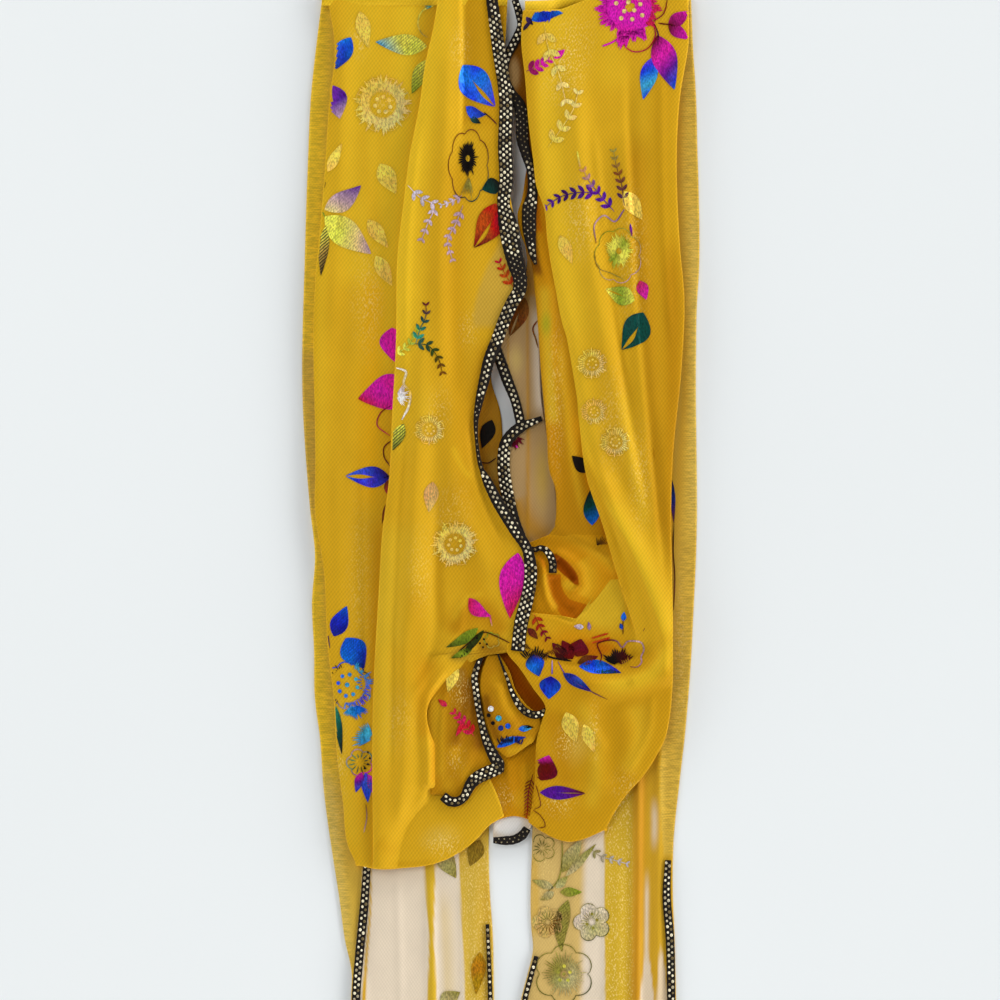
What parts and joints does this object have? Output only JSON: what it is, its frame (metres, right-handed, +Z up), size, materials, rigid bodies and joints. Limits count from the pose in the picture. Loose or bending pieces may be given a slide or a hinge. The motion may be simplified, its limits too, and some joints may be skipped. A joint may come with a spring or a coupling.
{
  "type": "net scarf",
  "caption": "Long sheer net scarf with foil-printed flowers and a studded braid edge, doubled over and laid flat, its front runs joined in a loose swag over the two tails.",
  "frame": {"origin": "centre of the bottom of the bounding box, on the surface that the scarf lies on", "axes": "+X to the right across the folded scarf, +Y along it towards the doubled top edge, +Z up from the surface"},
  "size_m": [0.1978, 0.5688, 0.0128],
  "materials": {
    "net_yellow": "sheer net with a soft sheen",
    "net_orange": "sheer net, several layers deep",
    "net_cream": "sheer net, a single layer",
    "braid": "woven black braid with pale gold studs"
  },
  "bodies": {
    "root": {"tail_left": "net_yellow", "tail_right": "net_yellow", "top_turn_left": "net_yellow", "top_turn_right": "net_yellow", "hidden_folds_left": "net_yellow", "hidden_folds_right": "net_yellow", "swag_left": "net_yellow", "panel_left": "net_yellow", "panel_right": "net_yellow", "swag_right": "net_yellow", "pocket_fold": "net_yellow", "inner_right": "net_orange", "inner_recess": "net_orange", "flap_left": "net_orange", "swirl": "net_orange", "inner_sheer": "net_cream", "hem_patch": "net_cream", "braid_left_front": "braid", "braid_right_front": "braid", "braid_inner_edge": "braid", "braid_inner_return": "braid", "braid_hook": "braid", "braid_pocket": "braid", "braid_flap_side": "braid", "braid_flap_hem": "braid", "braid_hem": "braid", "braid_tail_left_outer": "braid", "braid_tail_left_inner": "braid", "braid_tail_right_inner": "braid", "braid_tail_right_outer": "braid"}
  },
  "joints": []
}
